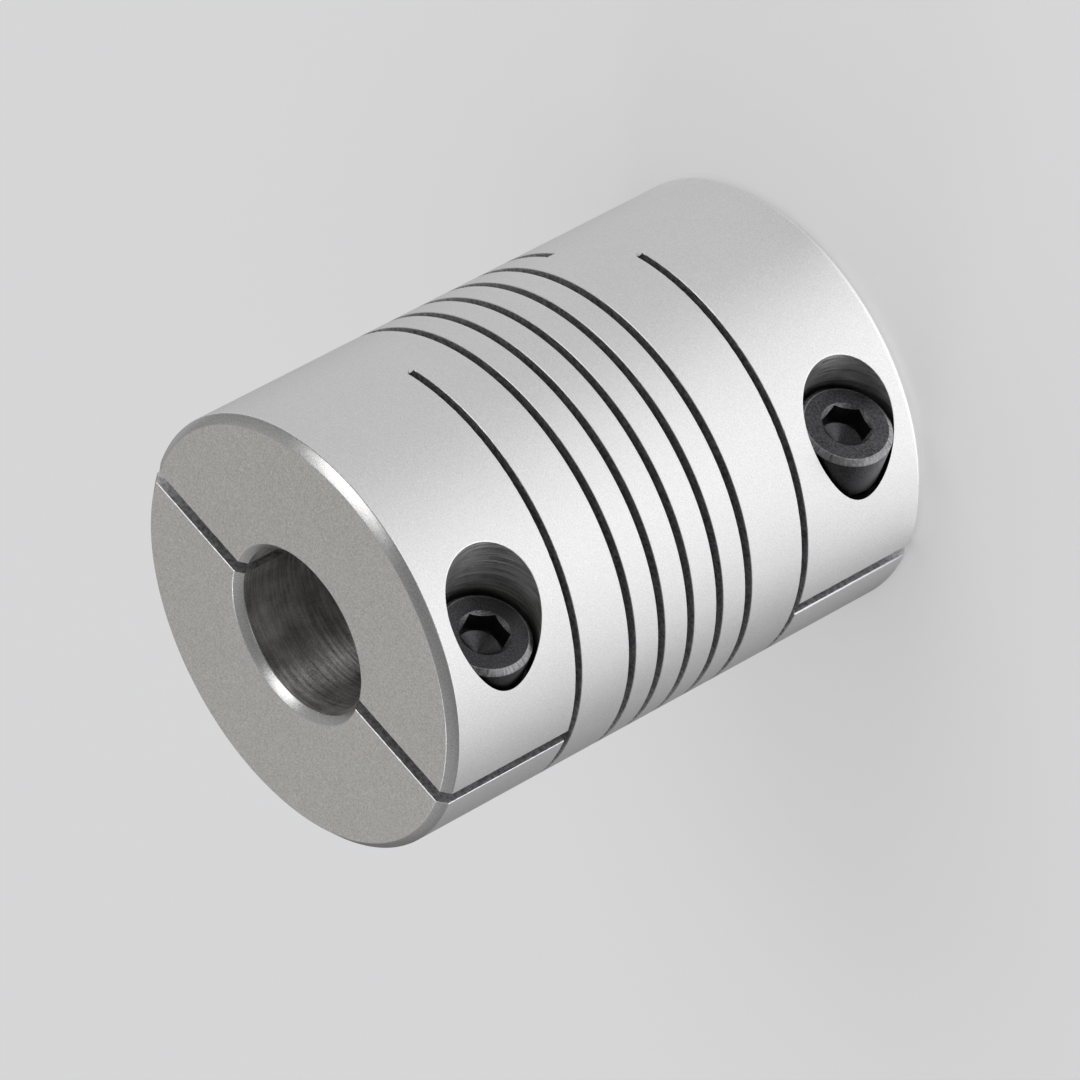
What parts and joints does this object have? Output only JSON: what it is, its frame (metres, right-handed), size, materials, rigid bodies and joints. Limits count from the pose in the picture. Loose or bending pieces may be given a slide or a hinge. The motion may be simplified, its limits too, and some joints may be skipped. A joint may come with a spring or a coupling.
{
  "type": "encoder coupling",
  "caption": "Helical beam shaft coupling with split clamp hubs closed by socket-head screws, for joining an encoder's shaft to a driving shaft.",
  "frame": {"origin": "centre of the lower end face, on the coupling's axis", "axes": "+Z along the coupling's axis; +X towards the side where the clamp screws cross the slits; +Y towards the side that the screw heads face"},
  "size_m": [0.026, 0.026, 0.035],
  "materials": {
    "satin_aluminium": "fine matt blasted, with brighter machined chamfers",
    "black_steel": "black oxide, worn bright on the head's chamfer"
  },
  "bodies": {
    "root": {"coupling_body": "satin_aluminium", "upper_clamp_screw": "black_steel", "lower_clamp_screw": "black_steel"}
  },
  "joints": []
}
